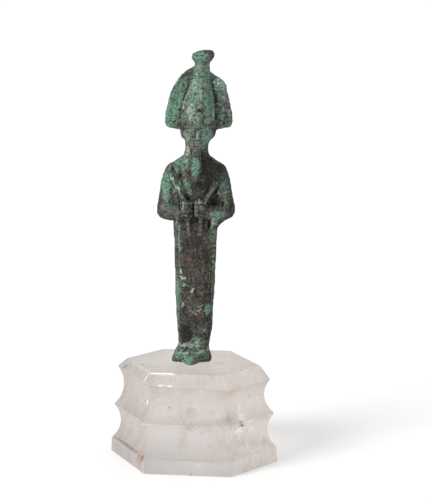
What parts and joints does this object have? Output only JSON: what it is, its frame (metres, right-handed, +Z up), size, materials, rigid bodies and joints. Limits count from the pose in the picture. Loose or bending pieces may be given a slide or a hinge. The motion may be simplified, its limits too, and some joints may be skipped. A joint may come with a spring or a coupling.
{
  "type": "osiris statuette",
  "caption": "Small cast bronze figure of the mummiform god Osiris with a plumed crown, crook and flail, standing on a faceted rock-crystal plinth.",
  "frame": {"origin": "middle of the plinth's underside", "axes": "+Z up through the figure; the figure looks along -Y; +X is to the right of someone who faces it"},
  "size_m": [0.0652, 0.0624, 0.1577],
  "materials": {
    "patinated_bronze": "matt green and dark brown corrosion over cast bronze",
    "rock_crystal": "polished, cloudy natural quartz with veils and iron stains"
  },
  "bodies": {
    "root": {"osiris_figure": "patinated_bronze", "crystal_plinth": "rock_crystal"}
  },
  "joints": []
}
